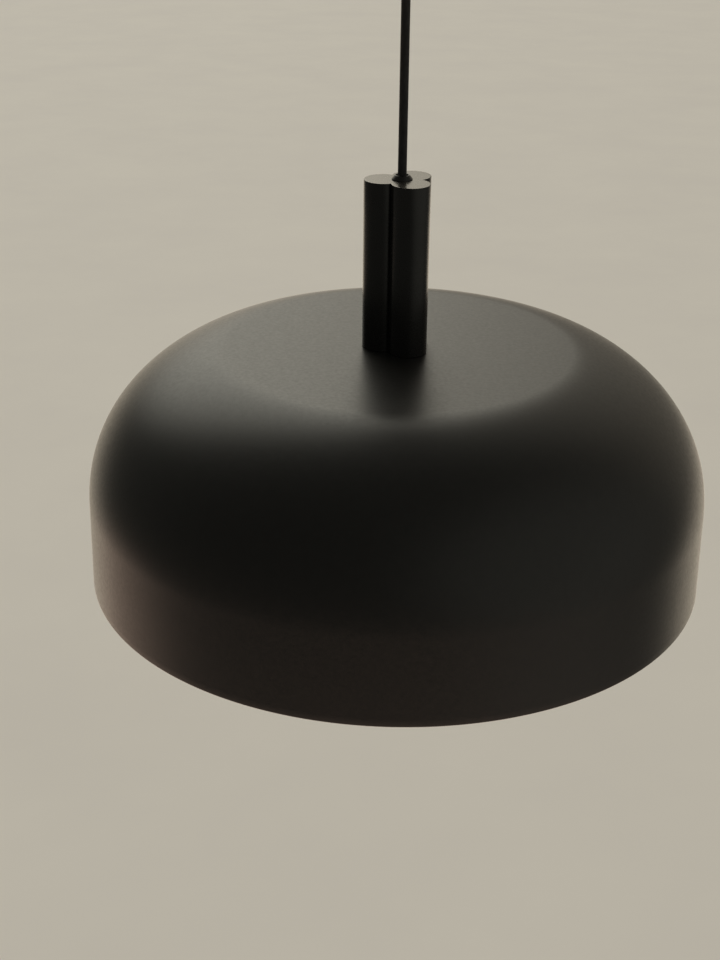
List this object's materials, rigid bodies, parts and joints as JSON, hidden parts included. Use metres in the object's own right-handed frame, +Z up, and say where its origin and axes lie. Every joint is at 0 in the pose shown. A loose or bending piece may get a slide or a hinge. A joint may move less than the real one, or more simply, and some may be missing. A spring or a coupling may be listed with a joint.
{
  "type": "pendant ceiling light",
  "caption": "Pendant light: wide domed metal shade with a flat top, short lobed stem, textile cord, ceiling canopy, screw lampholder and bulb.",
  "frame": {"origin": "centre of the ceiling plate's face against the ceiling, midway between the screw slots", "axes": "+Z up out of the ceiling face, the lamp hangs towards -Z; +X along the line of the screw slots and the side screws"},
  "size_m": [0.452, 0.4518, 0.481],
  "materials": {
    "black_powder_coat": "matte",
    "black_stem_coat": "satin",
    "textile_cord": "matte",
    "cord_core": "matte",
    "black_plastic": "matte",
    "clear_nylon": "satin",
    "white_plastic": "satin",
    "zinc_steel": "satin",
    "brass": "satin",
    "nickel_cap": "satin",
    "ceramic": "matte",
    "brown_wire": "satin",
    "blue_wire": "satin",
    "green_yellow_wire": "satin",
    "black_glass": "gloss",
    "solder": "satin",
    "aluminium_plate": "satin",
    "led_phosphor": "satin",
    "circuit_board": "satin",
    "opal_plastic": "satin",
    "black_screw": "satin"
  },
  "bodies": {
    "ceiling_fitting": {"ceiling_plate": "zinc_steel", "canopy_cup": "black_powder_coat", "canopy_side_screws": "black_screw", "grip_body": "black_plastic", "grip_nut": "black_plastic", "grip_clamp_screw": "clear_nylon", "terminal_block": "white_plastic", "terminal_barrels": "brass", "terminal_screws": "zinc_steel", "terminal_fixing_screw": "zinc_steel", "earth_tag": "brass", "earth_screw": "brass", "canopy_cord_end": "textile_cord", "live_wire": "brown_wire", "neutral_wire": "blue_wire", "earth_wire": "green_yellow_wire"},
    "cord_bend": {"cord_bend_core": "cord_core"},
    "cord": {"pendant_cord": "textile_cord"},
    "gland_bend": {"gland_bend_core": "cord_core"},
    "cord_end": {"gland_cord_end": "textile_cord"},
    "lamp": {"stem_gland": "black_stem_coat", "stem": "black_stem_coat", "inner_cord": "textile_cord", "hollow_nipple": "zinc_steel", "shade": "black_powder_coat", "reinforcing_disc": "zinc_steel", "nipple_washer": "zinc_steel", "nipple_nut": "zinc_steel", "lamp_earth_tag": "brass", "holder_cap": "black_plastic", "holder_skirt": "black_plastic", "holder_insert": "ceramic", "holder_thread_shell": "brass", "holder_centre_contact": "brass", "holder_side_contact": "brass", "holder_terminals": "brass", "holder_terminal_screws": "zinc_steel", "holder_live_wire": "brown_wire", "holder_neutral_wire": "blue_wire", "lamp_earth_wire": "green_yellow_wire"},
    "bulb_tip": {"bulb_tip_contact": "solder"},
    "bulb": {"bulb_insulator": "black_glass", "bulb_screw_cap": "nickel_cap", "bulb_housing": "white_plastic", "bulb_led_plate": "aluminium_plate", "bulb_leds": "led_phosphor", "bulb_driver_board": "circuit_board", "bulb_driver_capacitor": "black_plastic", "bulb_dome": "opal_plastic"}
  },
  "joints": [
    {"name": "swing_fore_aft", "type": "hinge", "parent": "ceiling_fitting", "child": "cord_bend", "pos_m": [0, 0, -0.037], "axis": [1, 0, 0], "range_deg": [-15, 15]},
    {"name": "swing_sideways", "type": "hinge", "parent": "cord_bend", "child": "cord", "pos_m": [0, 0, -0.037], "axis": [0, 1, 0], "range_deg": [-15, 15]},
    {"name": "rock_fore_aft", "type": "hinge", "parent": "cord", "child": "gland_bend", "pos_m": [0, 0, -0.19], "axis": [1, 0, 0], "range_deg": [-5, 5]},
    {"name": "rock_sideways", "type": "hinge", "parent": "gland_bend", "child": "cord_end", "pos_m": [0, 0, -0.19], "axis": [0, 1, 0], "range_deg": [-5, 5]},
    {"name": "cord_twist", "type": "hinge", "parent": "cord_end", "child": "lamp", "pos_m": [0, 0, -0.19815], "axis": [0, 0, 1], "range_deg": [-90, 90]},
    {"name": "bulb_travel", "type": "slide", "parent": "lamp", "child": "bulb_tip", "axis": [0, 0, -1], "range_m": [0, 0.0255]},
    {"name": "bulb_turn", "type": "hinge", "parent": "bulb_tip", "child": "bulb", "pos_m": [0, 0, -0.36], "axis": [0, 0, -1], "range_deg": [0, 2520]}
  ],
  "couplings": [
    {"joint": "bulb_travel", "follows": "bulb_turn", "m_per_rad": 0.00057751}
  ]
}
